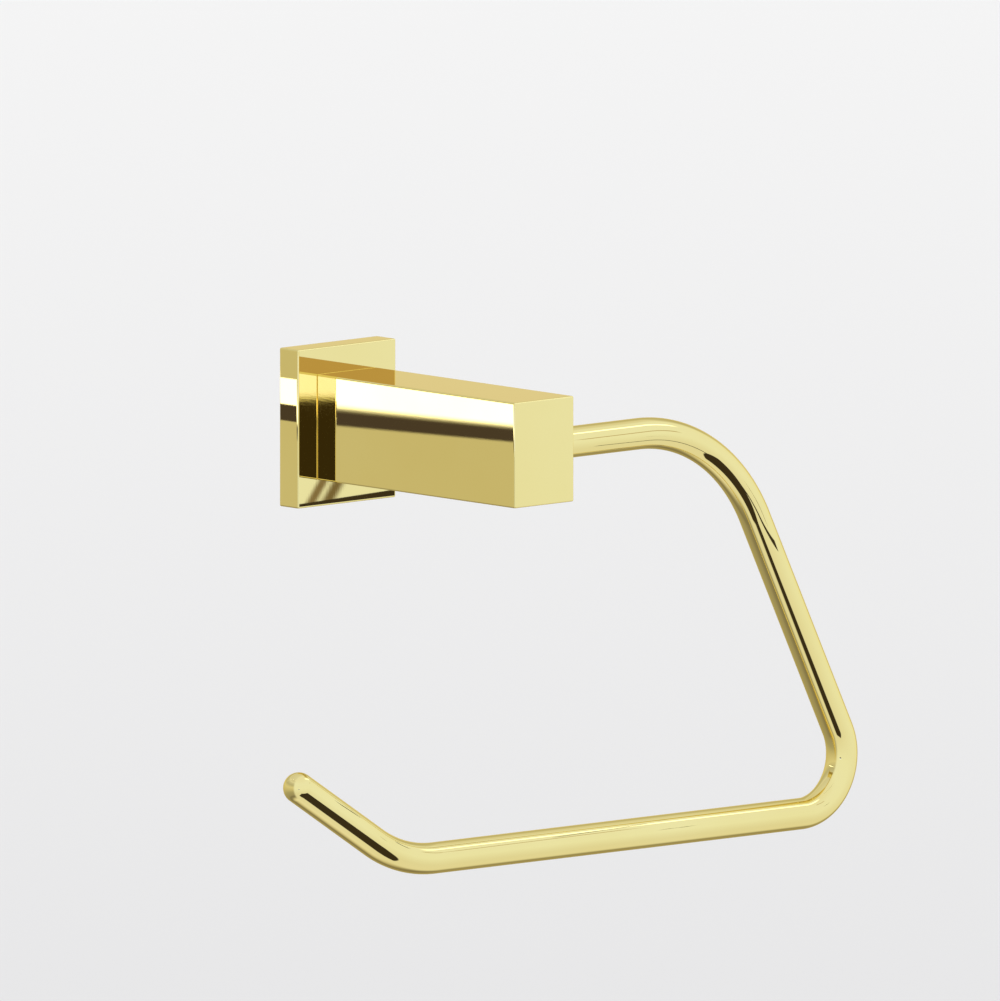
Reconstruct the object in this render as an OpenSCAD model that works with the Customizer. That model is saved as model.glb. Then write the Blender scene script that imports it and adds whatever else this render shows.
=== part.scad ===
// Toilet paper holder: a rectangular wall plate, a rectangular post and a bent roll bar that swings
// in the side of the post. Millimetres. The origin is the centre of the wall plate's back face, on
// the wall; +X is right, -Y is out of the wall and +Z is up. "Out" below is a distance from the wall.

/* [Wall plate] */
// Width of the wall plate
plate_w = 33; // [27:0.5:45]
// Height of the wall plate
plate_h = 39.8; // [38.8:0.1:56]
// Thickness of the wall plate
plate_t = 6.7; // [5.5:0.1:10]
// Rim around the recess in the back of the plate
plate_rim = 3; // [2.5:0.1:4]
// Face left in front of the recess
plate_face = 2.5; // [2:0.1:3.2]

/* [Post] */
// Width of the post
post_w = 20; // [16:0.5:28]
// Height of the post
post_h = 26.5; // [22:0.5:34]
// Length of the post, from the front of the plate
post_l = 72.8; // [45:0.1:110]
// Edge break on the plate and the post
edge_break = 0.4; // [0.2:0.1:0.8]

/* [Roll bar] */
// Diameter of the bar
bar_d = 8; // [6.5:0.5:10]
// Distance of the bar's axis behind the front of the post
bar_setback = 10; // [8:0.5:16]
// Upper corner of the bar, right of the post's centre
shoulder_x = 67.8; // [56:0.2:90]
// Lower right corner, right of the post's centre
knee_x = 118; // [98:1:150]
// Lower left corner, left of the post's centre
heel_x = 39.2; // [30:0.2:60]
// Drop from the upper leg to the lower bar
bar_drop = 100.2; // [80:0.2:130]
// Length of the upturned end, from its corner to the middle of its dome
tip_l = 40.6; // [30:0.2:55]
// Slope of the upturned end above level, in degrees
tip_rise = 32.2; // [20:0.2:45]
// Radius of the upper bend, at the middle of the bar
shoulder_r = 44; // [20:1:53]
// Radius of the lower right bend, at the middle of the bar
knee_r = 14; // [11.5:0.5:20]
// Radius of the lower left bend, at the middle of the bar
heel_r = 38; // [20:1:50]

/* [Swing] */
// How far the bar swings forward and up, in degrees
swing_front = 90; // [45:5:110]
// How far the bar swings back towards the wall, in degrees
swing_back = 20; // [5:1:30]
// Length of each bush
bush_l = 5; // [4:0.5:6]
// Wall of each bush
bush_wall = 1; // [0.8:0.1:1.5]
// Post left at the blind end of the bar's bore
bore_end_wall = 3; // [2:0.5:5]

/* [Wall fixing] */
// Thickness of the wall bracket
bracket_t = 3; // [2.5:0.1:4]
// Distance between the bracket's two wall screw holes
screw_spacing = 21; // [19:0.1:22.2]
// Diameter of the wall screw holes
wall_hole_d = 4.4; // [3.6:0.1:5.3]
// Diameter of the screw that holds the post
post_screw_d = 5; // [4:0.5:6]
// Length of the post screw's thread
post_screw_l = 14; // [10:1:25]
// Distance between the two locating pins
pin_spacing = 17; // [14:0.5:20]

/* [Hidden] */
$fn = 64;
brass = "#dfd48e";
steel = "#b9bcc0";
acetal = "#f1efe8";

// Clearances and small allowances
run_gap = 0.05;      // bar in its bushes, on the radius
side_gap = 0.3;      // bracket in the recess, each side
hook_gap = 0.1;      // bracket's front edge under the recess's top
lift_gap = 0.6;      // extra room under the bracket, to hook the plate on
screw_gap = 0.15;    // screw in a clearance hole, on the radius
slot_gap = 0.25;     // keeper point in its slot, each side
stop_gap = 0.05;     // keeper point to the slot's end at either limit
tip_gap = 0.2;       // keeper point above the slot's floor
end_gap = 0.5;       // end of the bar to the bottom of its bore
head_gap = 0.45;     // post screw's head to the wall
bend_thin = 0.05;    // a bend is drawn this much thinner on the radius, so it ends inside the straights
bend_lap = 0.4;      // how far each straight runs on over the end of a bend
eps = 0.01;          // overshoot of a cut past a face

// Wall plate and bracket
front_out = plate_t + post_l;
recess_w = plate_w - 2 * plate_rim;
recess_h = plate_h - 2 * plate_rim;
recess_t = plate_t - plate_face;
bevel = 1.2;
bracket_w = recess_w - 2 * side_gap;
bracket_top = recess_h / 2 - hook_gap;
bracket_foot = -recess_h / 2 + bevel + lift_gap;
bevel_slope = bevel / bracket_t;
sink_r = 3.9;
sink_t = sink_r - wall_hole_d / 2;

// Post screw, its washer and the locating pins
head_r = post_screw_d * 0.95;
head_chamfer = 0.6;
washer_t = 1;
head_t = recess_t - washer_t - head_gap;
washer_r = head_r + 0.25;
post_key = 3;
post_hole_l = post_screw_l + 2;
head_room_r = washer_r + 0.5;
pin_d = 3;
pin_l = plate_face + 4;

// Plate lock screw
lock_d = 3;
lock_out = 2;
lock_recess = 0.4;
lock_key = 1.5;
lock_cone = 1;
lock_tip_r = 0.6;
lock_tip_z = bracket_foot + bevel_slope * (bracket_t - lock_out - lock_tip_r);

// Bar, bushes and keeper screw
bar_r = bar_d / 2;
bar_out = front_out - bar_setback;
bush_bore_r = bar_r + run_gap;
bush_r = bush_bore_r + bush_wall;
bore_end_x = bore_end_wall - post_w / 2;
leg_end_x = bore_end_x + end_gap;
leg_chamfer = 0.5;
keeper_x = (bore_end_x + post_w / 2) / 2;
keeper_d = 4;
keeper_point_d = 2.5;
keeper_recess = 0.8;
keeper_key = 2;
keeper_shoulder = 0.4;
slot_w = keeper_point_d + 2 * slot_gap;
slot_floor_r = bar_r * 0.625;
keeper_tip_z = slot_floor_r + tip_gap;
stop_turn = (slot_gap - stop_gap) / bar_r * 180 / PI;
slot_from = -90 - swing_back + stop_turn;
slot_to = -90 + swing_front - stop_turn;
key_depth = 2;

// The bar's centreline: corners in X and Z, the turn at each and what each bend takes off its sides
shoulder = [shoulder_x, 0];
knee = [knee_x, -bar_drop];
heel = [-heel_x, -bar_drop];
tip = heel + tip_l * [-cos(tip_rise), sin(tip_rise)];
slope = atan2(bar_drop, knee_x - shoulder_x);
down = [cos(slope), -sin(slope)];
shoulder_cut = shoulder_r * tan(slope / 2);
knee_cut = knee_r * tan((180 - slope) / 2);
heel_cut = heel_r * tan(tip_rise / 2);

// Turns a shape drawn in X and Z, and raised, to stand out of the wall
module off_wall(out = 0) {
    translate([0, -out, 0]) rotate([90, 0, 0]) children();
}

// A rectangle with its corners cut at 45 degrees
module cut_rectangle(w, h, c) {
    x = w / 2;
    y = h / 2;
    polygon([[-x + c, -y], [x - c, -y], [x, -y + c], [x, y - c],
             [x - c, y], [-x + c, y], [-x, y - c], [-x, -y + c]]);
}

// A block on the plane z = 0 with every edge broken except those around its foot
module broken_block(w, h, t, c) {
    intersection() {
        linear_extrude(t) cut_rectangle(w, h, c);
        rotate([90, 0, 0]) linear_extrude(2 * h, center = true) cut_rectangle(w, 2 * t, c);
        rotate([0, 90, 0]) linear_extrude(2 * w, center = true) cut_rectangle(2 * t, h, c);
    }
}

// A hexagon key socket, cut down from z = 0
module key_socket(across_flats, depth) {
    translate([0, 0, -depth]) cylinder(h = depth + eps, d = across_flats / cos(30), $fn = 6);
}

// Dovetail plate screwed to the wall: its front is taller than its back
module wall_bracket() {
    color(steel) difference() {
        rotate([90, 0, 90]) linear_extrude(bracket_w, center = true)
            polygon([[0, bracket_foot + bevel], [-bracket_t, bracket_foot],
                     [-bracket_t, bracket_top], [0, bracket_top - bevel]]);
        off_wall(-eps) cylinder(h = bracket_t + 2 * eps, r = head_room_r);
        for (side = [-1, 1]) translate([0, 0, side * screw_spacing / 2]) off_wall() {
            translate([0, 0, -eps]) cylinder(h = bracket_t + 2 * eps, d = wall_hole_d);
            translate([0, 0, bracket_t - sink_t])
                cylinder(h = sink_t + eps, r1 = wall_hole_d / 2, r2 = sink_r + eps);
        }
    }
}

// Hollow cover over the bracket, with the lip that hooks behind the bracket's top edge
module wall_plate() {
    color(brass) difference() {
        off_wall() broken_block(plate_w, plate_h, plate_t, edge_break);
        difference() {
            off_wall(-eps) linear_extrude(recess_t + eps) square([recess_w, recess_h], center = true);
            hook_lip();
        }
        off_wall() cylinder(h = plate_t + eps, d = post_screw_d + 2 * screw_gap);
        pin_places() cylinder(h = plate_t + eps, d = pin_d);
        translate([0, -lock_out, -plate_h / 2 - eps])
            cylinder(h = lock_tip_z + plate_h / 2 + eps, d = lock_d);
    }
}

// Wedge under the top of the recess, lying on the bracket's bevel
module hook_lip() {
    top = recess_h / 2;
    rotate([90, 0, 90]) linear_extrude(recess_w + 2 * eps, center = true)
        polygon([[eps, top + eps], [eps, bracket_top - bevel], [0, bracket_top - bevel],
                 [-bracket_t - hook_gap / bevel_slope, top],
                 [-bracket_t - hook_gap / bevel_slope, top + eps]]);
}

// The two pins' axes, starting on the floor of the recess
module pin_places() {
    for (side = [-1, 1]) translate([0, 0, side * pin_spacing / 2]) off_wall(recess_t) children();
}

// Solid bar of metal with the bar's bore in its right side and the keeper's hole underneath
module post() {
    color(brass) difference() {
        off_wall(plate_t) broken_block(post_w, post_h, post_l, edge_break);
        off_wall(plate_t - eps) cylinder(h = post_hole_l + eps, d = post_screw_d);
        pin_places() cylinder(h = pin_l, d = pin_d);
        translate([bore_end_x, -bar_out, 0]) rotate([0, 90, 0])
            cylinder(h = post_w / 2 - bore_end_x + eps, r = bush_r);
        translate([keeper_x, -bar_out, -post_h / 2 - eps]) cylinder(h = post_h / 2, d = keeper_d);
    }
}

// Low round-headed screw from the recess into the post
module post_screw() {
    head_out = recess_t - washer_t;
    color(steel) difference() {
        union() {
            off_wall(head_out - eps) cylinder(h = post_screw_l + washer_t + eps, d = post_screw_d);
            off_wall(head_out - head_t) cylinder(h = head_chamfer, r1 = head_r - head_chamfer, r2 = head_r);
            off_wall(head_out - head_t + head_chamfer) cylinder(h = head_t - head_chamfer, r = head_r);
        }
        translate([0, -(head_out - head_t), 0]) rotate([-90, 0, 0]) key_socket(post_key, key_depth);
    }
}

// Washer between the screw's head and the floor of the recess
module lock_washer() {
    color(steel) off_wall(recess_t - washer_t) difference() {
        cylinder(h = washer_t, r = washer_r);
        translate([0, 0, -eps]) cylinder(h = washer_t + 2 * eps, d = post_screw_d + 2 * screw_gap);
    }
}

// Two pins that keep the post square on the plate
module locating_pins() {
    color(steel) pin_places() cylinder(h = pin_l, d = pin_d);
}

// Grub screw under the plate; its cone bears on the bracket's lower bevel
module plate_lock_screw() {
    foot = -plate_h / 2 + lock_recess;
    color(steel) translate([0, -lock_out, 0]) difference() {
        union() {
            translate([0, 0, foot]) cylinder(h = lock_tip_z - lock_cone - foot, d = lock_d);
            translate([0, 0, lock_tip_z - lock_cone])
                cylinder(h = lock_cone, r1 = lock_d / 2, r2 = lock_tip_r);
        }
        translate([0, 0, foot]) mirror([0, 0, 1]) key_socket(lock_key, key_depth);
    }
}

// A plain sleeve along +X from the given place, relieved where the keeper screw would touch it
module bush(start_x) {
    color(acetal) difference() {
        translate([start_x, -bar_out, 0]) rotate([0, 90, 0]) difference() {
            cylinder(h = bush_l, r = bush_r);
            translate([0, 0, -eps]) cylinder(h = bush_l + 2 * eps, r = bush_bore_r);
        }
        translate([keeper_x, -bar_out, -post_h / 2]) cylinder(h = post_h / 2, r = keeper_d / 2 + screw_gap);
    }
}

module inner_bush() {
    bush(bore_end_x);
}

module outer_bush() {
    bush(post_w / 2 - bush_l);
}

// Dog point screw under the post; its point runs in the bar's slot and stops the swing
module keeper_screw() {
    foot = -post_h / 2 + keeper_recess;
    shoulder_z = -bar_r - keeper_shoulder;
    color(steel) translate([keeper_x, -bar_out, 0]) difference() {
        union() {
            translate([0, 0, foot]) cylinder(h = shoulder_z - foot, d = keeper_d);
            translate([0, 0, shoulder_z - eps])
                cylinder(h = -keeper_tip_z - shoulder_z + eps, d = keeper_point_d);
        }
        translate([0, 0, foot]) mirror([0, 0, 1]) key_socket(keeper_key, key_depth);
    }
}

// Straight length of bar between two points in X and Z, lapped over the bends at both ends
module straight(from, to) {
    run = to - from;
    translate([from[0], from[1], 0]) rotate([0, 0, atan2(run[1], run[0])]) rotate([0, 90, 0])
        translate([0, 0, -bend_lap]) cylinder(h = norm(run) + 2 * bend_lap, r = bar_r);
}

// Bend of the bar about a centre in X and Z, from one angle through a turn
module bend(centre, r, from, turn) {
    translate([centre[0], centre[1], 0]) rotate([0, 0, from]) rotate_extrude(angle = turn)
        translate([r, 0]) circle(r = bar_r - bend_thin);
}

// The upturned end with its domed tip, from the end of the heel bend
module tip_end() {
    root = heel + (heel_cut - bend_lap) * [-cos(tip_rise), sin(tip_rise)];
    length = tip_l - heel_cut + bend_lap;
    translate([root[0], root[1], 0]) rotate([0, 0, -tip_rise]) rotate([0, -90, 0]) rotate_extrude() {
        square([bar_r, length]);
        translate([0, length]) intersection() {
            circle(r = bar_r);
            square(bar_r);
        }
    }
}

// The upper leg in the post: a chamfered end and the slot that the keeper's point runs in
module upper_leg() {
    leg_l = shoulder_x - shoulder_cut - leg_end_x + bend_lap;
    difference() {
        translate([leg_end_x, 0, 0]) rotate([0, 90, 0]) union() {
            cylinder(h = leg_chamfer, r1 = bar_r - leg_chamfer, r2 = bar_r);
            translate([0, 0, leg_chamfer]) cylinder(h = leg_l - leg_chamfer, r = bar_r);
        }
        translate([keeper_x, 0, 0]) keeper_slot();
    }
}

// Ring sector about the X axis with a round end at each limit; angles run from the wall side, up positive
module keeper_slot() {
    rotate([0, 90, 0]) {
        rotate([0, 0, slot_from]) rotate_extrude(angle = slot_to - slot_from)
            translate([slot_floor_r, -slot_w / 2]) square([bar_r, slot_w]);
        for (turn = [slot_from, slot_to]) rotate([0, 0, turn]) rotate([0, 90, 0])
            translate([0, 0, slot_floor_r]) cylinder(h = bar_r, d = slot_w);
    }
}

// One round bar, bent three times in the plane that hangs from its upper leg
module roll_bar() {
    color(brass) off_wall(bar_out) union() {
        upper_leg();
        bend([shoulder_x - shoulder_cut, -shoulder_r], shoulder_r, 90 - slope, slope);
        straight(shoulder + shoulder_cut * down, knee - knee_cut * down);
        bend(knee + [-knee_cut, knee_r], knee_r, -90, 180 - slope);
        straight(knee - [knee_cut, 0], heel + [heel_cut, 0]);
        bend(heel + [heel_cut, heel_r], heel_r, -90 - tip_rise, tip_rise);
        tip_end();
    }
}

wall_bracket();
wall_plate();
post();
post_screw();
lock_washer();
locating_pins();
plate_lock_screw();
inner_bush();
outer_bush();
keeper_screw();
roll_bar();
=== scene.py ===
from math import cos, pi, radians, sin, tan

import bpy
import numpy as np
from mathutils import Matrix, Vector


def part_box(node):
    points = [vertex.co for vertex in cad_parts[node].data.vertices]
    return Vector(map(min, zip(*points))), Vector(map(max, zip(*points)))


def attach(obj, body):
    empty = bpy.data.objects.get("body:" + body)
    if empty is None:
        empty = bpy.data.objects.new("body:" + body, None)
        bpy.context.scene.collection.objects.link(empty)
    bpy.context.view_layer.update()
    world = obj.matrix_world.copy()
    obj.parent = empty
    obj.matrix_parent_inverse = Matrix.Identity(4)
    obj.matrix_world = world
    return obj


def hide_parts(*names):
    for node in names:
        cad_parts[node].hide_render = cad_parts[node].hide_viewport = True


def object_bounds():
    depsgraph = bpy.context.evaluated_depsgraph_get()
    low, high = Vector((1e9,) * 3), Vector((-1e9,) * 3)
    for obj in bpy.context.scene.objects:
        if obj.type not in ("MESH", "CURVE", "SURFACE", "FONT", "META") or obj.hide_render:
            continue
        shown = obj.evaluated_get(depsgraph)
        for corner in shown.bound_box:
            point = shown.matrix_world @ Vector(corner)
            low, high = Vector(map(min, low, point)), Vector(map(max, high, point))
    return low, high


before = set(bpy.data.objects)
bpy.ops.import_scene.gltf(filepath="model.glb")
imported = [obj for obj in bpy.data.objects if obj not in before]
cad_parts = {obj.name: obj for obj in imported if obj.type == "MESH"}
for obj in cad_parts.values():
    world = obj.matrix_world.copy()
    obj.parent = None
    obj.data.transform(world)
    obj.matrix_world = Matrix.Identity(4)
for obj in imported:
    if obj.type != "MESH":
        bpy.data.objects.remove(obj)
cadBox = [list(corner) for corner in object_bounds()]  # the CAD model's own box, before anything is added
scene = bpy.context.scene
mm = 0.001
xAxis, yAxis, zAxis = np.eye(3)


def nodeBox(name):  # lowest corner, highest corner, middle and size of a CAD node
    low, high = (np.array(corner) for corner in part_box(name))
    return low, high, (low + high) / 2, high - low


plateLow, plateHigh, plateMiddle, plateSize = nodeBox("wall_plate")
postLow, postHigh, postMiddle, postSize = nodeBox("post")
barLow, _, barMiddle, barSize = nodeBox("roll_bar")
barHair = 0.07 * mm  # how far the bar stays inside the CAD bar, whose bends are drawn thinner
barRadius = barSize[1] / 2 - barHair


cameraView = {
    "azimuth": -42.4,  # degrees round the object, 0 looks straight at the wall
    "elevation": 7.6,
    "width": 0.249,  # metres seen across the frame
    "aimRight": 0.0026,  # aim, from the middle of the object's box
    "aimUp": 0.0243,
    "distance": 1.6,
}


def viewAxes(azimuth, elevation):  # unit vectors to the right, up and back towards the viewer
    a, e = radians(azimuth), radians(elevation)
    right = np.array([cos(a), sin(a), 0])
    back = np.array([sin(a) * cos(e), -cos(a) * cos(e), sin(e)])
    return right, np.cross(back, right), back


def makeCamera(view):
    right, up, back = viewAxes(view["azimuth"], view["elevation"])
    aim = np.mean(cadBox, axis=0) + view["aimRight"] * right + view["aimUp"] * up
    data = bpy.data.cameras.new("camera")
    data.type = "ORTHO"
    data.ortho_scale = view["width"]
    data.clip_end = 30
    camera = bpy.data.objects.new("camera", data)
    scene.collection.objects.link(camera)
    pose = np.eye(4)
    pose[:3, :3] = np.column_stack([right, up, back])
    pose[:3, 3] = aim + view["distance"] * back
    camera.matrix_world = Matrix(pose)
    scene.camera = camera


makeCamera(cameraView)
print("camera ready")


# Polyline with round corners. Each corner gives way to an arc that touches both of its sides: the
# arc's points are its two end radii blended by sines. A point a hair outside each end of an arc
# keeps the flats flat when the surface is shaded smooth.
def roundCorners(corners, radii, steps=6, closed=False, margin=0.05 * mm):
    corners = np.asarray(corners, float)
    runs = []
    for k, radius in enumerate(np.broadcast_to(radii, len(corners))):
        corner = corners[k]
        if radius == 0 or not closed and k in (0, len(corners) - 1):
            runs.append(corner[None])
            continue
        back = corners[k - 1] - corner
        ahead = corners[(k + 1) % len(corners)] - corner
        back, ahead = back / np.linalg.norm(back), ahead / np.linalg.norm(ahead)
        opening = np.arccos(np.clip(back @ ahead, -1, 1))
        reach = radius / tan(opening / 2)
        centre = corner + (back + ahead) / np.linalg.norm(back + ahead) * radius / sin(opening / 2)
        first, last = corner + back * reach - centre, corner + ahead * reach - centre
        turn = pi - opening
        share = np.linspace(0, 1, steps + 1)[:, None]
        arc = centre + (np.sin((1 - share) * turn) * first + np.sin(share * turn) * last) / sin(turn)
        runs += [corner[None] + back * (reach + margin), arc, corner[None] + ahead * (reach + margin)]
    return np.vstack(runs)


# A piece from grids of points: grid[row, column] is a point, the columns wrap round, and the rows
# wrap as well for a ring, or else close in a fan at each end's middle.
def skin(name, grids, ring=False):
    points, faces, start = [], [], 0
    for grid in grids:
        rows, columns = grid.shape[:2]
        index = start + np.arange(rows * columns).reshape(rows, columns)
        ahead = np.roll(index, -1, axis=0)[: rows if ring else rows - 1]
        here = index[: len(ahead)]
        quads = np.stack([here, np.roll(here, -1, axis=1), np.roll(ahead, -1, axis=1), ahead], axis=-1)
        faces += quads.reshape(-1, 4).tolist()
        points.append(grid.reshape(-1, 3))
        start += rows * columns
        if not ring:
            points.append(np.stack([grid[0].mean(axis=0), grid[-1].mean(axis=0)]))
            for pole, loop in ((start, index[0][::-1]), (start + 1, index[-1])):
                fan = np.stack([np.full(columns, pole), loop, np.roll(loop, -1)], axis=-1)
                faces += fan.tolist()
            start += 2
    points = np.vstack(points)
    mesh = bpy.data.meshes.new(name)
    mesh.from_pydata(points.tolist(), [], faces)
    mesh.calc_loop_triangles()
    corners = np.empty(len(mesh.loop_triangles) * 3, np.int32)
    mesh.loop_triangles.foreach_get("vertices", corners)
    a, b, c = (points - points.mean(axis=0))[corners.reshape(-1, 3)].transpose(1, 0, 2)
    if np.einsum("ij,ij->", a, np.cross(b, c)) < 0:  # the volume's sign shows which way the faces look
        mesh.flip_normals()
    piece = bpy.data.objects.new(name, mesh)
    scene.collection.objects.link(piece)
    return piece


def shade(piece, sharpAngle=32):  # smooth faces, sharp across edges steeper than the angle
    mesh = piece.data
    mesh.polygons.foreach_set("use_smooth", np.ones(len(mesh.polygons), bool))
    mesh.set_sharp_from_angle(angle=radians(sharpAngle))


def carve(piece, tool, operation="DIFFERENCE"):  # cuts a tool out of a piece, or joins it on, for good
    change = piece.modifiers.new(tool.name, "BOOLEAN")
    change.operation = operation
    change.solver = "EXACT"
    change.object = tool
    bpy.context.view_layer.update()
    evaluated = piece.evaluated_get(bpy.context.evaluated_depsgraph_get())
    old = piece.data
    piece.data = bpy.data.meshes.new_from_object(evaluated)
    piece.modifiers.clear()
    bpy.data.meshes.remove(old)
    bpy.data.objects.remove(tool)


# Block standing out of the wall: a profile of (inset, out) points is carried round a rectangle with
# round corners, so each profile point becomes one rectangular loop, drawn in by its inset.
def blockGrid(middle, width, height, profile, cornerRadius):
    loops = []
    for inset, out in profile:
        x, z = width / 2 - inset, height / 2 - inset
        corners = [[-x, -z], [x, -z], [x, z], [-x, z]]
        loop = roundCorners(corners, max(cornerRadius - inset, 0.05 * mm), closed=True)
        loops.append(np.column_stack([loop[:, 0], np.full(len(loop), -out), loop[:, 1]]))
    return np.array(loops) + [middle[0], 0, middle[2]]


# Turned shape: row k is a ring of radius[k], at along[k] on an axis from the origin. A radius may
# also change round the ring, as it does on a thread or a key socket.
def turnedGrid(origin, axis, side, along, radius, columns=72):
    angle = np.linspace(0, 2 * pi, columns, endpoint=False)
    spoke = np.cos(angle)[:, None] * side + np.sin(angle)[:, None] * np.cross(axis, side)
    radius = np.asarray(radius, float)
    radius = radius[:, None] if radius.ndim == 1 else radius
    return origin + np.asarray(along)[:, None, None] * axis + radius[:, :, None] * spoke[None]


def drill(name, holes, axis, side):  # a cutter of (start, length, radius, chamfer) round holes
    grids = []
    for start, length, radius, chamfer in holes:
        along = [-chamfer - 0.1 * mm, 0, chamfer, length] if chamfer else [-0.1 * mm, length]
        wide = [radius, radius]
        if chamfer:
            wide = [radius + 2 * chamfer + 0.1 * mm, radius + chamfer] + wide
        grids.append(turnedGrid(start, axis, side, along, wide))
    return skin(name, grids)


def finishPiece(piece, material, body, node):
    piece.data.materials.clear()
    piece.data.materials.append(material)
    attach(piece, body)
    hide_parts(node)
    print("made", piece.name, len(piece.data.polygons), "faces")


def addNode(tree, kind, inputs=None, **settings):  # a node, its settings and what goes into its sockets
    node = tree.nodes.new(kind)
    for key, value in settings.items():
        setattr(node, key, value)
    for key, value in (inputs or {}).items():
        if isinstance(value, bpy.types.NodeSocket):
            tree.links.new(value, node.inputs[key])
        else:
            node.inputs[key].default_value = value
    return node


def setStops(ramp, stops):  # colour ramp stops as (position, colour)
    elements = ramp.color_ramp.elements
    while len(elements) < len(stops):
        elements.new(0.5)
    for element, (position, colour) in zip(elements, stops):
        element.position = position
        element.color = (*colour, 1)


def patternSpace(tree, scale, coordinates="Object"):  # coordinates stretched for a directional pattern
    source = addNode(tree, "ShaderNodeTexCoord")
    return addNode(tree, "ShaderNodeMapping", {"Vector": source.outputs[coordinates], "Scale": scale})


# Metal whose colour drifts softly between two tones, whose roughness follows fine polishing lines
# and faint smudges, and whose surface carries the same lines as a very shallow relief.
def makeMetal(name, look, grainScale, coordinates="Object"):
    material = bpy.data.materials.new(name)
    material.use_nodes = True
    tree = material.node_tree
    shader = tree.nodes["Principled BSDF"]
    shader.inputs["Metallic"].default_value = 1
    shader.inputs["Specular Tint"].default_value = (*look["edgeTint"], 1)
    wide = patternSpace(tree, (1, 1, 1)).outputs["Vector"]
    drift = addNode(tree, "ShaderNodeTexNoise", {"Vector": wide, "Scale": look["driftScale"], "Detail": 3})
    tone = addNode(tree, "ShaderNodeValToRGB", {"Fac": drift.outputs["Fac"]})
    setStops(tone, [(0.3, look["toneA"]), (0.7, look["toneB"])])
    tree.links.new(tone.outputs["Color"], shader.inputs["Base Color"])
    fine = patternSpace(tree, grainScale, coordinates).outputs["Vector"]
    grain = addNode(tree, "ShaderNodeTexNoise", {"Vector": fine, "Scale": 1, "Detail": 4, "Roughness": 0.6})
    smudge = addNode(tree, "ShaderNodeTexNoise",
                     {"Vector": wide, "Scale": look["smudgeScale"], "Detail": 5, "Distortion": 0.6})
    mixed = addNode(tree, "ShaderNodeMath", {0: grain.outputs["Fac"], 1: smudge.outputs["Fac"]},
                    operation="MULTIPLY")
    rough = addNode(tree, "ShaderNodeMapRange",
                    {"Value": mixed.outputs["Value"], "From Min": 0.1, "From Max": 0.45,
                     "To Min": look["roughLow"], "To Max": look["roughHigh"]})
    tree.links.new(rough.outputs["Result"], shader.inputs["Roughness"])
    relief = addNode(tree, "ShaderNodeBump", {"Height": grain.outputs["Fac"], "Strength": 1,
                                              "Distance": look["reliefDepth"]})
    tree.links.new(relief.outputs["Normal"], shader.inputs["Normal"])
    return material


polishedBrass = {
    "toneA": (0.862, 0.700, 0.270),
    "toneB": (0.880, 0.727, 0.298),
    "driftScale": 28,  # per metre, so tones change over a few centimetres
    "smudgeScale": 160,
    "roughLow": 0.006,
    "roughHigh": 0.022,
    "edgeTint": (1.0, 0.88, 0.55),  # keeps grazing views gold
    "reliefDepth": 0.0000003,
}
platedSteel = {
    "toneA": (0.56, 0.57, 0.58),
    "toneB": (0.66, 0.67, 0.68),
    "driftScale": 60,
    "smudgeScale": 300,
    "roughLow": 0.22,
    "roughHigh": 0.36,
    "edgeTint": (1.0, 1.0, 1.0),
    "reliefDepth": 0.000004,
}
screwSteel = {
    "toneA": (0.50, 0.50, 0.50),
    "toneB": (0.60, 0.60, 0.61),
    "driftScale": 140,
    "smudgeScale": 500,
    "roughLow": 0.18,
    "roughHigh": 0.30,
    "edgeTint": (1.0, 1.0, 1.0),
    "reliefDepth": 0.000003,
}


acetal = {
    "toneA": (0.80, 0.79, 0.74),
    "toneB": (0.86, 0.85, 0.81),
    "cloudScale": 220,
    "skinScale": 4000,
    "roughLow": 0.34,
    "roughHigh": 0.48,
    "reliefDepth": 0.00001,
}


def makePlastic(name, look):  # white plastic: slightly cloudy, with a fine moulded skin
    material = bpy.data.materials.new(name)
    material.use_nodes = True
    tree = material.node_tree
    shader = tree.nodes["Principled BSDF"]
    space = patternSpace(tree, (1, 1, 1)).outputs["Vector"]
    cloud = addNode(tree, "ShaderNodeTexNoise", {"Vector": space, "Scale": look["cloudScale"], "Detail": 2})
    tone = addNode(tree, "ShaderNodeValToRGB", {"Fac": cloud.outputs["Fac"]})
    setStops(tone, [(0.3, look["toneA"]), (0.7, look["toneB"])])
    tree.links.new(tone.outputs["Color"], shader.inputs["Base Color"])
    skinNoise = addNode(tree, "ShaderNodeTexNoise",
                        {"Vector": space, "Scale": look["skinScale"], "Detail": 3})
    rough = addNode(tree, "ShaderNodeMapRange", {"Value": skinNoise.outputs["Fac"],
                                                 "To Min": look["roughLow"],
                                                 "To Max": look["roughHigh"]})
    tree.links.new(rough.outputs["Result"], shader.inputs["Roughness"])
    relief = addNode(tree, "ShaderNodeBump", {"Height": skinNoise.outputs["Fac"],
                                              "Distance": look["reliefDepth"]})
    tree.links.new(relief.outputs["Normal"], shader.inputs["Normal"])
    return material


brassPlate = makeMetal("plateBrass", polishedBrass, (2600, 2600, 260))
brassPost = makeMetal("postBrass", polishedBrass, (2600, 220, 2600))
brassBar = makeMetal("barBrass", polishedBrass, (220, 2600, 1), "UV")
bracketSteel = makeMetal("bracketSteel", platedSteel, (300, 2500, 3200))
turnedSteel = makeMetal("screwSteel", screwSteel, (2200, 2200, 2200))
bushPlastic = makePlastic("bushPlastic", acetal)
print("materials ready")


plateShape = {
    "rim": 3.0 * mm,  # round the recess in its back
    "face": 2.5 * mm,  # metal left in front of the recess
    "edge": 0.4 * mm,  # radius of the outer edges
    "backEdge": 0.15 * mm,
    "screwHole": 2.65 * mm,
    "pinHole": 1.5 * mm,
    "lockHole": 1.5 * mm,
    "lipFoot": 1.3 * mm,  # drop of the hook lip at the wall
    "lipOut": 3.25 * mm,  # where the lip runs out
}


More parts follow.
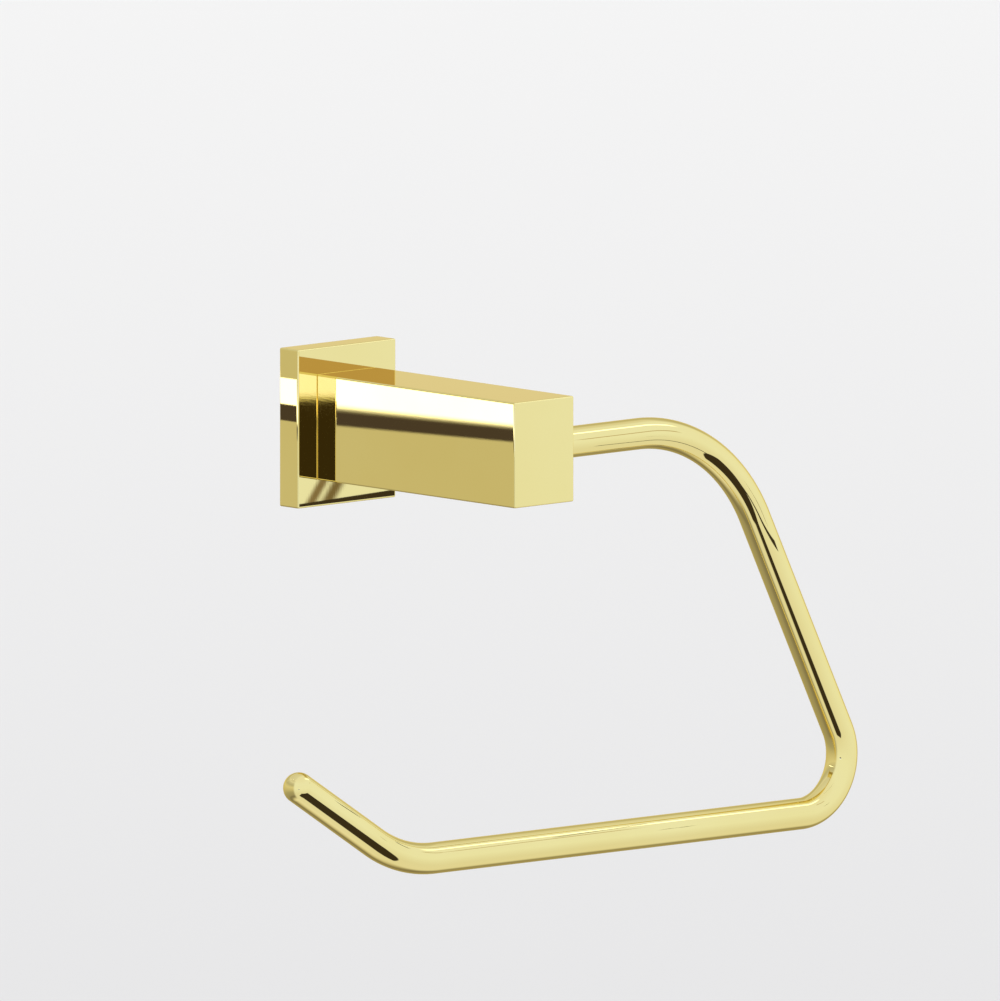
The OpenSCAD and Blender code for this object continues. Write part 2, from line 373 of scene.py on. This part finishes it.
# The profile goes from the recess's floor round the back rim, up the side and over the front.
def makeWallPlate(shape):
    thick = plateSize[1]
    floor = thick - shape["face"]
    deep = plateSize[0] / 2 - 3 * mm
    corners = [[deep, floor], [shape["rim"], floor], [shape["rim"], 0], [0, 0], [0, thick], [deep, thick]]
    profile = roundCorners(corners, [0, 0.3 * mm, shape["backEdge"], shape["backEdge"], shape["edge"], 0])
    plate = skin("wallPlate", [blockGrid(plateMiddle, plateSize[0], plateSize[2], profile, shape["edge"])])
    top = plateHigh[2] - shape["rim"]
    half = plateSize[0] / 2 - shape["rim"] + 0.1 * mm
    wedge = np.array([[0.02 * mm, top + 0.1 * mm], [0.02 * mm, top - shape["lipFoot"]],
                      [shape["lipOut"], top], [shape["lipOut"], top + 0.1 * mm]])
    ends = [np.column_stack([np.full(4, x), -wedge[:, 0], wedge[:, 1]]) for x in (-half, half)]
    carve(plate, skin("hookLip", [np.array(ends)]), "UNION")
    pins = nodeBox("locating_pins")
    lock = nodeBox("plate_lock_screw")
    pinZ = pins[1][2] - shape["pinHole"]
    back = np.array([0, -floor + 1 * mm, 0])
    through = shape["face"] + 2 * mm
    carve(plate, drill("plateHoles", [(back, through, shape["screwHole"], 0),
                                      (back + pinZ * zAxis, through, shape["pinHole"], 0),
                                      (back - pinZ * zAxis, through, shape["pinHole"], 0)], -yAxis, xAxis))
    under = np.array([lock[2][0], lock[2][1], plateLow[2]])
    carve(plate, drill("lockHole", [(under, shape["rim"] + 0.2 * mm, shape["lockHole"], 0.2 * mm)],
                       zAxis, xAxis))
    shade(plate)
    finishPiece(plate, brassPlate, "holder", "wall_plate")


makeWallPlate(plateShape)


postShape = {
    "edge": 0.4 * mm,
    "backEdge": 0.25 * mm,
    "screwHole": 2.5 * mm,
    "screwHoleDepth": 16.0 * mm,
    "keeperHole": 2.0 * mm,
    "mouthChamfer": 0.25 * mm,
}


# The profile goes from the middle of the back, along a side and over the front.
def makePost(shape):
    back, front = -postHigh[1], -postLow[1]
    deep = postSize[0] / 2 - 2 * mm
    corners = [[deep, back], [0, back], [0, front], [deep, front]]
    profile = roundCorners(corners, [0, shape["backEdge"], shape["edge"], 0])
    post = skin("postBlock", [blockGrid(postMiddle, postSize[0], postSize[2], profile, shape["edge"])])
    bush, pins, keeper = nodeBox("outer_bush"), nodeBox("locating_pins"), nodeBox("keeper_screw")
    boreRadius = bush[3][1] / 2
    mouth = np.array([postHigh[0], barMiddle[1], 0])
    boreLength = postHigh[0] - nodeBox("inner_bush")[0][0]
    carve(post, drill("bore", [(mouth, boreLength, boreRadius, 0.05 * mm)], -xAxis, zAxis))
    foot = np.array([0, postHigh[1], 0])
    pinRadius = pins[3][0] / 2
    pinZ = (pins[1][2] - pinRadius) * zAxis
    pinDepth = postHigh[1] - pins[0][1]
    carve(post, drill("backHoles", [(foot, shape["screwHoleDepth"], shape["screwHole"], 0),
                                    (foot + pinZ, pinDepth, pinRadius, 0),
                                    (foot - pinZ, pinDepth, pinRadius, 0)], -yAxis, xAxis))
    under = np.array([keeper[2][0], keeper[2][1], postLow[2]])
    carve(post, drill("keeperHole", [(under, postSize[2] / 2, shape["keeperHole"], shape["mouthChamfer"])],
                      zAxis, xAxis))
    shade(post)
    finishPiece(post, brassPost, "holder", "post")


makePost(postShape)


barShape = {
    "shoulder": 67.8 * mm,  # corners of the bar's middle line, along X from the post's middle
    "knee": 118.0 * mm,
    "heel": -39.2 * mm,
    "tipLength": 40.6 * mm,
    "tipRise": 32.2,  # degrees
    "shoulderBend": 44.0 * mm,
    "kneeBend": 14.0 * mm,
    "heelBend": 38.0 * mm,
    "legGap": 0.5 * mm,  # the leg stops this far short of its bore's end
    "legChamfer": 0.5 * mm,
    "slotWidth": 3.3 * mm,
    "slotDepth": 1.5 * mm,
    "slotFrom": -116.0,  # degrees round the leg, from the wall side, up positive
    "slotTo": 6.0,
    "columns": 120,
}


# Round section carried along the middle line. The line lies in the plane of the bar, the section's
# first spoke points to the wall and its second is the first one's square turn in the plane. The
# radius shrinks as a cosine over the dome, and drops by the slot's depth inside the slot, which is
# every point of the leg less than half the slot's width from an arc round it.
def makeRollBar(shape):
    rise = radians(shape["tipRise"])
    leg, low = 0.0, barLow[2] + barRadius
    heel = np.array([shape["heel"], low])
    tipWay = np.array([-cos(rise), sin(rise)])
    tip = heel + shape["tipLength"] * tipWay
    start = nodeBox("inner_bush")[0][0] + shape["legGap"]
    corners = [[start, leg], [shape["shoulder"], leg], [shape["knee"], low], heel, tip]
    line = roundCorners(corners, [0, shape["shoulderBend"], shape["kneeBend"], shape["heelBend"], 0],
                        steps=48, margin=0.4 * mm)
    chamferX = start + shape["legChamfer"]
    slotX = nodeBox("keeper_screw")[2][0]
    slotRun = np.arange(slotX - shape["slotWidth"] * 0.75, slotX + shape["slotWidth"] * 0.75, 0.1 * mm)
    legX = np.concatenate([[chamferX, chamferX + 0.1 * mm], slotRun])
    line = np.vstack([line[:1], np.column_stack([legX, np.full(len(legX), leg)]), line[1:]])
    dome = np.linspace(0, pi / 2, 25)[1:-1]
    line = np.vstack([line, tip + barRadius * np.sin(dome)[:, None] * tipWay])
    radius = np.full(len(line), barRadius)
    radius[0] -= shape["legChamfer"]
    radius[-len(dome):] = barRadius * np.cos(dome)
    step = np.diff(line, axis=0)
    step /= np.linalg.norm(step, axis=1)[:, None]
    tangent = np.vstack([step[:1], step[:-1] + step[1:], step[-1:]])
    tangent /= np.linalg.norm(tangent, axis=1)[:, None]
    angle = np.linspace(0, 2 * pi, shape["columns"], endpoint=False)
    around = (np.degrees(angle) + 180) % 360 - 180
    slotMiddle = (shape["slotFrom"] + shape["slotTo"]) / 2
    slotHalf = radians(shape["slotTo"] - shape["slotFrom"]) / 2 * barRadius
    sideways = np.maximum(np.abs(np.radians(around - slotMiddle)) * barRadius - slotHalf, 0)
    away = np.hypot(line[:, :1] - slotX, sideways[None]) - shape["slotWidth"] / 2
    inSlot = np.clip(-away / (0.12 * mm), 0, 1) * (np.abs(line[:, 1:]) < barRadius / 2)
    radius = radius[:, None] - shape["slotDepth"] * inSlot
    square = np.column_stack([-tangent[:, 1], np.zeros(len(line)), tangent[:, 0]])
    centre = np.column_stack([line[:, 0], np.full(len(line), barMiddle[1]), line[:, 1]])
    spoke = np.cos(angle)[None, :, None] * yAxis + np.sin(angle)[None, :, None] * square[:, None]
    bar = skin("rollBar", [centre[:, None] + radius[:, :, None] * spoke])
    length = np.concatenate([[0], np.cumsum(np.linalg.norm(np.diff(line, axis=0), axis=1))])
    wrapOnto(bar, length, angle * barRadius)
    shade(bar, 40)
    finishPiece(bar, brassBar, "bar", "roll_bar")


# UV map in metres, along and round a skinned grid. The last column's faces end a full turn round,
# and not back at the start, and the two end fans take the end rows' lengths.
def wrapOnto(piece, along, around):
    mesh = piece.data
    rows, columns = len(along), len(around)
    vertex = np.empty(len(mesh.loops), np.int32)
    mesh.loops.foreach_get("vertex_index", vertex)
    pole = vertex >= rows * columns
    row, column = np.divmod(np.where(pole, 0, vertex), columns)
    u = np.where(pole, np.where(vertex == rows * columns, along[0], along[-1]), along[row])
    v = around[column]
    count = np.empty(len(mesh.polygons), np.int32)
    mesh.polygons.foreach_get("loop_total", count)
    face = np.repeat(np.arange(len(count)), count)
    high = np.zeros(len(count))
    np.maximum.at(high, face, np.where(pole, 0, column))
    v = np.where((high[face] == columns - 1) & (column == 0) & ~pole, around[-1] + around[1], v)
    layer = mesh.uv_layers.new(name="run")
    layer.data.foreach_set("uv", np.column_stack([u, v]).astype(np.float32).ravel())


makeRollBar(barShape)


threadDepth = 0.61  # share of the pitch that the thread is deep


# Screw from its socket's floor to its point, as rows of (along, radius). The socket's radius
# follows a hexagon, half its width over the cosine of the angle from the nearest flat. The thread is
# a triangle wave of the distance along less the turn, cut flat at its crest and root.
def screwGrid(origin, axis, side, shape, columns=72):
    angle = np.linspace(0, 2 * pi, columns, endpoint=False)
    hexagon = shape["key"] / 2 / np.cos((angle + pi / 6) % (pi / 3) - pi / 6)
    depth, soft = shape["keyDepth"], 0.08 * mm
    rows = [(depth + 0.3 * mm, hexagon * 0.15), (depth, hexagon * 0.93), (depth - soft, hexagon),
            (2 * soft, hexagon), (soft, hexagon), (0, hexagon + soft)]
    head = roundCorners(shape["head"], shape["headRound"], steps=4)
    rows += [(along, np.full(columns, radius)) for along, radius in head]
    first, last = shape["thread"]
    pitch, major = shape["pitch"], shape["major"]
    bite = threadDepth * pitch
    for along in np.arange(first, last, pitch / 12):
        wave = np.abs(2 * ((along / pitch - angle / (2 * pi)) % 1) - 1)
        fade = np.clip(min(along - first, last - along) / pitch, 0, 1)
        rows.append((along, major - bite * fade * np.clip((wave - 0.1) / 0.75, 0, 1)))
    point = roundCorners(shape["point"], soft, steps=3)
    rows += [(along, np.full(columns, radius)) for along, radius in point]
    along, radius = zip(*rows)
    return turnedGrid(origin, axis, side, along, np.array(radius), columns)


postScrewShape = {
    "key": 3.0 * mm, "keyDepth": 2.0 * mm,
    "head": [[0, 3.1 * mm], [0, 4.15 * mm], [0.6 * mm, 4.75 * mm], [2.75 * mm, 4.75 * mm],
             [2.75 * mm, 2.5 * mm]],
    "headRound": [0, 0.4 * mm, 0.4 * mm, 0.15 * mm, 0],
    "major": 2.5 * mm, "pitch": 0.8 * mm, "thread": (4.2 * mm, 17.0 * mm),
    "point": [[17.05 * mm, 2.5 * mm], [17.3 * mm, 2.5 * mm], [17.75 * mm, 1.9 * mm], [17.75 * mm, 0.3 * mm]],
}
lockScrewShape = {
    "key": 1.5 * mm, "keyDepth": 1.9 * mm,
    "head": [[0, 0.95 * mm], [0, 1.25 * mm], [0.2 * mm, 1.5 * mm], [0.35 * mm, 1.5 * mm]],
    "headRound": [0, 0, 0, 0],
    "major": 1.5 * mm, "pitch": 0.5 * mm, "thread": (0.4 * mm, 3.5 * mm),
    "point": [[3.52 * mm, 1.5 * mm], [3.56 * mm, 1.5 * mm], [4.56 * mm, 0.6 * mm], [4.56 * mm, 0.1 * mm]],
}
keeperShape = {
    "key": 2.0 * mm, "keyDepth": 2.0 * mm,
    "head": [[0, 1.25 * mm], [0, 1.7 * mm], [0.3 * mm, 2.0 * mm], [0.5 * mm, 2.0 * mm]],
    "headRound": [0, 0, 0, 0],
    "major": 2.0 * mm, "pitch": 0.7 * mm, "thread": (0.6 * mm, 7.8 * mm),
    "point": [[7.9 * mm, 2.0 * mm], [8.05 * mm, 1.9 * mm], [8.05 * mm, 1.25 * mm], [9.75 * mm, 1.25 * mm],
              [9.75 * mm, 0.3 * mm]],
}


def makeScrew(name, node, axis, side, shape):  # the key goes in at the axis's start
    low, high, middle, size = nodeBox(node)
    origin = middle + axis * (-(size @ np.abs(axis)) / 2)
    screw = skin(name, [screwGrid(origin, axis, side, shape)])
    shade(screw)
    finishPiece(screw, turnedSteel, "holder", node)


makeScrew("postScrew", "post_screw", -yAxis, xAxis, postScrewShape)
makeScrew("plateLockScrew", "plate_lock_screw", zAxis, xAxis, lockScrewShape)
makeScrew("keeperScrew", "keeper_screw", zAxis, xAxis, keeperShape)


def makePins():  # two straight pins with round-edged ends
    low, high, middle, size = nodeBox("locating_pins")
    radius, length = size[0] / 2, size[1]
    profile = roundCorners([[0, 0.2 * mm], [0, radius], [length, radius], [length, 0.2 * mm]], 0.3 * mm)
    starts = [np.array([middle[0], high[1], z]) for z in (low[2] + radius, high[2] - radius)]
    pins = skin("locatingPins", [turnedGrid(s, -yAxis, xAxis, profile[:, 0], profile[:, 1]) for s in starts])
    shade(pins)
    finishPiece(pins, turnedSteel, "holder", "locating_pins")


washerShape = {
    "bore": 2.65 * mm,
    "gap": 7.0,  # degrees left open where the spring washer is split
    "edge": 0.12 * mm,
    "spring": 0.08 * mm,  # how far the two ends stand apart
}


# Flat section carried round an arc that stops short of a full turn, one end a little further out.
def makeLockWasher(shape):
    low, high, middle, size = nodeBox("lock_washer")
    half = (size[1] - shape["spring"]) / 2
    outer, inner = size[0] / 2, shape["bore"]
    section = roundCorners([[-half, inner], [half, inner], [half, outer], [-half, outer]], shape["edge"],
                           steps=4, closed=True)
    share = np.linspace(0, 1, 121)[:, None]
    turn = radians(shape["gap"] / 2) + share * (2 * pi - radians(shape["gap"]))
    along = section[None, :, 0] + (share - 0.5) * shape["spring"]
    wide = section[None, :, 1]
    grid = np.stack([wide * np.cos(turn), along + 0 * turn, wide * np.sin(turn)], axis=-1)
    washer = skin("lockWasher", [middle + grid])
    shade(washer)
    finishPiece(washer, turnedSteel, "holder", "lock_washer")


def makeBush(name, node):  # sleeve with round edges, a closed section carried round the bar's axis
    low, high, middle, size = nodeBox(node)
    outer, inner = size[1] / 2, barSize[1] / 2 + 0.05 * mm
    section = roundCorners([[0, inner], [size[0], inner], [size[0], outer], [0, outer]], 0.18 * mm,
                           steps=5, closed=True)
    turn = np.linspace(0, 2 * pi, 96, endpoint=False)[:, None]
    wide = section[None, :, 1]
    grid = np.stack([section[None, :, 0] + 0 * turn, wide * np.cos(turn), wide * np.sin(turn)], axis=-1)
    bush = skin(name, [np.array([low[0], middle[1], middle[2]]) + grid], ring=True)
    shade(bush)
    finishPiece(bush, bushPlastic, "holder", node)


makePins()
makeLockWasher(washerShape)
makeBush("innerBush", "inner_bush")
makeBush("outerBush", "outer_bush")


bracketShape = {
    "bevel": 1.2 * mm,  # how much shorter its back is, at the top and at the foot
    "edge": 0.25 * mm,
    "headRoom": 5.5 * mm,
    "screwHole": 2.2 * mm,
    "sinkRadius": 3.9 * mm,
    "sinkDepth": 1.7 * mm,
    "spacing": 21.0 * mm,
}


# Dovetail: loops from the back to the front, whose top and foot move outwards in step with "out".
def makeWallBracket(shape):
    low, high, middle, size = nodeBox("wall_bracket")
    thick = size[1]
    profile = roundCorners([[9 * mm, 0], [0, 0], [0, thick], [9 * mm, thick]], shape["edge"])
    grid = blockGrid(middle, size[0], size[2], profile, 0.6 * mm)
    lean = shape["bevel"] * (1 - profile[:, 1] / thick)[:, None]
    grid[:, :, 2] -= np.sign(grid[:, :, 2] - middle[2]) * lean
    bracket = skin("wallBracket", [grid])
    back = np.array([0, 0.1 * mm, 0])
    carve(bracket, drill("headRoom", [(back, thick + 1 * mm, shape["headRoom"], 0)], -yAxis, xAxis))
    for z in (-shape["spacing"] / 2, shape["spacing"] / 2):
        front = np.array([0, -thick, z])
        reach = 0.05 * mm
        sink = turnedGrid(front, yAxis, xAxis, [-reach, shape["sinkDepth"], thick + 0.1 * mm],
                          [shape["sinkRadius"] + reach, shape["screwHole"], shape["screwHole"]])
        carve(bracket, skin("screwSink", [sink]))
    shade(bracket)
    finishPiece(bracket, bracketSteel, "holder", "wall_bracket")


makeWallBracket(bracketShape)


floorLook = {
    "drop": 0.45,  # metres below the object's origin
    "reach": 9.0,
    "change": (2.3, 4.4),  # metres away between which the near tone gives way to the far one
    "near": (0.752, 0.745, 0.740),
    "far": (0.862, 0.855, 0.842),
}


# Painted light: the floor's base colour turns paler with distance, a painted brightening of the far backdrop
# rather than a change in the floor itself.
def makeFloor(look):  # one wide plane, a little paler with distance
    back = viewAxes(cameraView["azimuth"], 0)[2]
    reach = look["reach"]
    corners = [[-reach, -reach, -look["drop"]], [reach, -reach, -look["drop"]],
               [reach, reach, -look["drop"]], [-reach, reach, -look["drop"]]]
    mesh = bpy.data.meshes.new("floor")
    mesh.from_pydata(corners, [], [[0, 1, 2, 3]])
    floor = bpy.data.objects.new("floor", mesh)
    scene.collection.objects.link(floor)
    material = bpy.data.materials.new("paleFloor")
    material.use_nodes = True
    tree = material.node_tree
    shader = tree.nodes["Principled BSDF"]
    shader.inputs["Roughness"].default_value = 0.9
    shader.inputs["Specular IOR Level"].default_value = 0
    place = addNode(tree, "ShaderNodeTexCoord").outputs["Object"]
    away = addNode(tree, "ShaderNodeVectorMath", {0: place, 1: tuple(-back)}, operation="DOT_PRODUCT")
    share = addNode(tree, "ShaderNodeMapRange", {"Value": away.outputs["Value"],
                                                 "From Min": look["change"][0],
                                                 "From Max": look["change"][1]})
    tone = addNode(tree, "ShaderNodeValToRGB", {"Fac": share.outputs["Result"]})
    setStops(tone, [(0, look["near"]), (1, look["far"])])
    tree.links.new(tone.outputs["Color"], shader.inputs["Base Color"])
    mesh.materials.append(material)
    floor.visible_glossy = False  # the metal mirrors the studio and not the floor


# Corners of a rectangle from its middle, its run across and its run up.
def cardCorners(centre, across, rise):
    signs = np.array([[-1, -1], [1, -1], [1, 1], [-1, 1]])
    return np.asarray(centre) + signs[:, :1] * np.asarray(across) / 2 + signs[:, 1:] * np.asarray(rise) / 2


cardSteps = 13  # points along each side of a card


# Card: a glowing or dark four-sided sheet that only reflections see, blended between its corners. Its
# light fades out towards the edges, by the share of the card given as its fade across and up.
def makeCard(name, corners, colour, strength, fade):
    share = np.linspace(0, 1, cardSteps)
    u, v = (half.ravel()[:, None] for half in np.meshgrid(share, share))
    a, b, c, d = np.asarray(corners, float)
    points = (1 - v) * ((1 - u) * a + u * b) + v * ((1 - u) * d + u * c)
    index = np.arange(len(u)).reshape(cardSteps, cardSteps)
    faces = np.stack([index[:-1, :-1], index[:-1, 1:], index[1:, 1:], index[1:, :-1]], axis=-1)
    faces = faces.reshape(-1, 4)
    mesh = bpy.data.meshes.new(name)
    mesh.from_pydata(points.tolist(), [], faces.tolist())
    layer = mesh.uv_layers.new(name="card")
    layer.data.foreach_set("uv", np.hstack([u, v])[faces.ravel()].astype(np.float32).ravel())
    card = bpy.data.objects.new(name, mesh)
    scene.collection.objects.link(card)
    material = bpy.data.materials.new(name)
    material.use_nodes = True
    tree = material.node_tree
    tree.nodes.clear()
    place = addNode(tree, "ShaderNodeUVMap", uv_map="card").outputs[0]
    spread = addNode(tree, "ShaderNodeSeparateXYZ", {0: place})
    masks = []
    for axis, (lowFade, highFade) in zip("XY", fade):
        low = addNode(tree, "ShaderNodeMapRange",
                      {"Value": spread.outputs[axis], "From Max": max(lowFade, 0.001)},
                      interpolation_type="SMOOTHSTEP")
        high = addNode(tree, "ShaderNodeMapRange",
                       {"Value": spread.outputs[axis], "From Min": 1, "From Max": 1 - max(highFade, 0.001)},
                       interpolation_type="SMOOTHSTEP")
        masks += [low.outputs["Result"], high.outputs["Result"]]
    mask = masks[0]
    for other in masks[1:]:
        mask = addNode(tree, "ShaderNodeMath", {0: mask, 1: other}, operation="MULTIPLY").outputs[0]
    clear = addNode(tree, "ShaderNodeBsdfTransparent")
    glow = addNode(tree, "ShaderNodeEmission", {"Color": (*colour, 1), "Strength": strength})
    mixed = addNode(tree, "ShaderNodeMixShader", {0: mask, 1: clear.outputs[0], 2: glow.outputs[0]})
    addNode(tree, "ShaderNodeOutputMaterial", {"Surface": mixed.outputs[0]})
    mesh.materials.append(material)
    card.visible_camera = False
    card.visible_diffuse = False
    card.visible_shadow = False


# Room light by direction: one column of tones for the room in front of the object, one for the wall
# side, each from the floor up to the ceiling, and a soft change from one to the other.
room = {
    "front": [(0.0, (0.88, 0.93, 1.0)), (0.20, (0.86, 0.92, 1.0)), (0.5, (0.95, 1.07, 1.26)),
              (0.80, (0.95, 1.07, 1.3)), (1.0, (0.92, 1.0, 1.15))],
    "wallSide": [(0.0, (0.95, 1.0, 1.1)), (0.03, (0.68, 0.68, 0.64)), (0.065, (0.33, 0.32, 0.28)),
                 (0.11, (0.25, 0.24, 0.21)), (0.16, (0.38, 0.37, 0.32)), (0.30, (0.45, 0.45, 0.38)),
                 (0.434, (0.66, 0.65, 0.53)), (0.566, (0.79, 0.79, 0.68)), (0.70, (0.55, 0.57, 0.55)),
                 (0.80, (0.68, 0.72, 0.78)), (0.83, (0.85, 0.9, 1.0)), (0.868, (0.74, 0.78, 0.84)),
                 (1.0, (0.80, 0.86, 0.96))],
    "turnAxis": (-0.19, 0.98, -0.05),  # the wall side begins where this direction does
    "turnWidth": 0.15,
}


def makeRoom(look):
    world = bpy.data.worlds.new("room")
    world.use_nodes = True
    tree = world.node_tree
    direction = addNode(tree, "ShaderNodeTexCoord").outputs["Generated"]
    height = addNode(tree, "ShaderNodeSeparateXYZ", {0: direction}).outputs["Z"]
    share = addNode(tree, "ShaderNodeMapRange", {"Value": height, "From Min": -1}).outputs["Result"]
    tones = []
    for side in ("front", "wallSide"):
        ramp = addNode(tree, "ShaderNodeValToRGB", {"Fac": share})
        setStops(ramp, look[side])
        tones.append(ramp.outputs["Color"])
    towards = addNode(tree, "ShaderNodeVectorMath", {0: direction, 1: look["turnAxis"]},
                      operation="DOT_PRODUCT")
    turn = addNode(tree, "ShaderNodeMapRange",
                   {"Value": towards.outputs["Value"], "From Min": -look["turnWidth"],
                    "From Max": look["turnWidth"]}, interpolation_type="SMOOTHSTEP")
    mixed = addNode(tree, "ShaderNodeMixRGB", {0: turn.outputs["Result"], 1: tones[0], 2: tones[1]})
    tree.links.new(mixed.outputs[0], tree.nodes["Background"].inputs["Color"])
    scene.world = world


# The side cards stand left of the post, where its side and the plate's edge mirror them. Each has two
# ends of (place along Y, foot, top) in mm, as the post's side shows them, and its distance from there.
sideCards = {
    "plateWhite": {"wall": (60, 7.1, 13.9), "front": (-13.9, 7.1, 13.9), "away": 0.100,
                   "tone": (0.95, 1.0, 1.1), "strength": 3.2, "fade": ((0.001, 0.6), (0.05, 0.04))},
    "plateDark": {"wall": (60, 2.9, 7.3), "front": (-13.9, 2.9, 7.3), "away": 0.098,
                  "tone": (1.0, 0.8, 0.85), "strength": 0.075, "fade": ((0.001, 0.6), (0.08, 0.08))},
    "postWhite": {"wall": (-13.7, 4.2, 13.4), "front": (-220, 9.9, 13.4), "away": 0.100,
                  "tone": (0.95, 1.0, 1.1), "strength": 3.2, "fade": ((0.5, 0.001), (0.30, 0.04))},
    "postDark": {"wall": (-13.7, 0.6, 6.6), "front": (-220, 8.1, 12.3), "away": 0.098,
                 "tone": (1.0, 0.8, 0.85), "strength": 0.075, "fade": ((0.5, 0.001), (0.16, 0.42))},
}


def makeSideCards(cards):
    back = viewAxes(cameraView["azimuth"], cameraView["elevation"])[2]
    mirrored = -back * [-1, 1, 1]  # the way that a sight line leaves the post's side
    for name, look in cards.items():
        (wallY, wallFoot, wallTop), (frontY, frontFoot, frontTop) = look["wall"], look["front"]
        corners = np.array([[0, frontY, frontFoot], [0, wallY, wallFoot], [0, wallY, wallTop],
                            [0, frontY, frontTop]]) * mm
        place = corners + postLow[0] * xAxis + mirrored * look["away"] / -mirrored[0]
        makeCard(name, place, look["tone"], look["strength"], look["fade"])


# Low in front stands the dark thing that draws the thin lines on the bar's lower inside.
lowCard = {
    "drop": 1.0,  # metres below the bar's middle
    "corners": [(-0.62, -1.38), (1.12, -1.78), (0.30, -0.34), (-0.62, -0.66)],  # X and Y from there
    "tone": (1.0, 0.8, 0.6),
    "strength": 0.045,
    "fade": ((0.05, 0.02), (0.04, 0.04)),
}


def makeLowCard(look):
    place = [barMiddle + [x, y, -look["drop"]] for x, y in look["corners"]]
    makeCard("lowCard", place, look["tone"], look["strength"], look["fade"])


# A bright strip overhead in front draws the highlight along the bar's top.
topCard = {
    "towards": (0.67, -0.26, 0.70),
    "away": 1.2,
    "length": 1.0,
    "rise": 0.15,
    "tone": (0.92, 1.0, 1.16),
    "strength": 2.4,
    "fade": ((0.25, 0.25), (0.40, 0.15)),
}


def makeTopCard(look):
    way = np.array(look["towards"]) / np.linalg.norm(look["towards"])
    steep = np.cross(xAxis, way)
    corners = cardCorners(barMiddle + look["away"] * way, look["length"] * xAxis,
                          look["rise"] * steep / np.linalg.norm(steep))
    makeCard("topCard", corners, look["tone"], look["strength"], look["fade"])


# What the plate and the post's top mirror stands in front, as cards square to a sight line. Each
# starts where that line leaves the metal and goes the way that the line was thrown: "sides" turns
# the line that comes back to the viewer in X, Y and Z. "tilt" raises the card's right end, and "slant"
# moves its top to the right.
frontCards = {
    "cornerBright": {"from": (-10.0, -9.3, 13.0), "sides": (1, 1, -1), "away": 0.80,
                     "width": 0.160, "rise": 0.012,
                     "tone": (0.90, 1.10, 2.5), "strength": 1.65, "fade": ((0.05, 0.05), (0.12, 0.05))},
    "cornerDark": {"from": (-10.0, -9.3, -9.6), "sides": (1, 1, -1), "away": 0.80,
                   "width": 0.160, "rise": 0.0335,
                   "tone": (1.0, 0.85, 0.6), "strength": 0.045, "fade": ((0.05, 0.05), (0.05, 0.03))},
    "cornerBrown": {"from": (-2.0, -6.7, 13.6), "sides": (-1, 1, 1), "away": 0.30,
                    "width": 0.056, "rise": 0.016,
                    "tone": (0.60, 0.53, 0.46), "fade": ((0.04, 0.04), (0.05, 0.05))},
    "plateFoot": {"from": (0.0, -6.7, -19.95), "sides": (-1, 1, -1), "away": 0.13,
                  "width": 0.036, "rise": 0.0034, "tilt": 0.0056,
                  "tone": (0.05, 0.04, 0.03), "fade": ((0.01, 0.01), (0.01, 0.06))},
    "leftStreak": {"from": (-10.3, -6.7, -16.5), "sides": (-1, 1, -1), "away": 0.30,
                   "width": 0.0040, "rise": 0.008, "slant": 0.0044,
                   "tone": (0.26, 0.21, 0.15), "fade": ((0.4, 0.4), (0.02, 0.02))},
    "rightStreak": {"from": (-4.6, -6.7, -16.5), "sides": (-1, 1, -1), "away": 0.30,
                    "width": 0.0052, "rise": 0.008, "slant": 0.0044,
                    "tone": (0.21, 0.17, 0.11), "fade": ((0.42, 0.42), (0.02, 0.02))},
}


def makeFrontCards(cards):
    back = viewAxes(cameraView["azimuth"], cameraView["elevation"])[2]
    for name, look in cards.items():
        way = back * look["sides"]
        centre = np.array(look["from"]) * mm + look["away"] * way
        level = np.cross(zAxis, way)
        level *= np.sign(level[0]) / np.linalg.norm(level)
        corners = cardCorners(centre, look["width"] * level + look.get("tilt", 0) * zAxis,
                              look["rise"] * zAxis + look.get("slant", 0) * level)
        makeCard(name, corners, look["tone"], look.get("strength", 1), look["fade"])


softLight = {
    "energy": 0.83,
    "colour": (1.0, 0.72, 0.26),
    "spread": 60,  # degrees
    "turn": (28, 0, -12),
}


# Broad warm light from above, which the metal doesn't mirror, for an even neutral floor.
def makeSoftLight(look):
    data = bpy.data.lights.new("softLight", "SUN")
    data.energy = look["energy"]
    data.color = look["colour"]
    data.angle = radians(look["spread"])
    lamp = bpy.data.objects.new("softLight", data)
    scene.collection.objects.link(lamp)
    lamp.rotation_euler = [radians(degrees) for degrees in look["turn"]]
    lamp.visible_glossy = False


makeFloor(floorLook)
makeRoom(room)
makeSideCards(sideCards)
makeLowCard(lowCard)
makeTopCard(topCard)
makeFrontCards(frontCards)
makeSoftLight(softLight)
scene.view_settings.view_transform = "Standard"
print("studio ready")
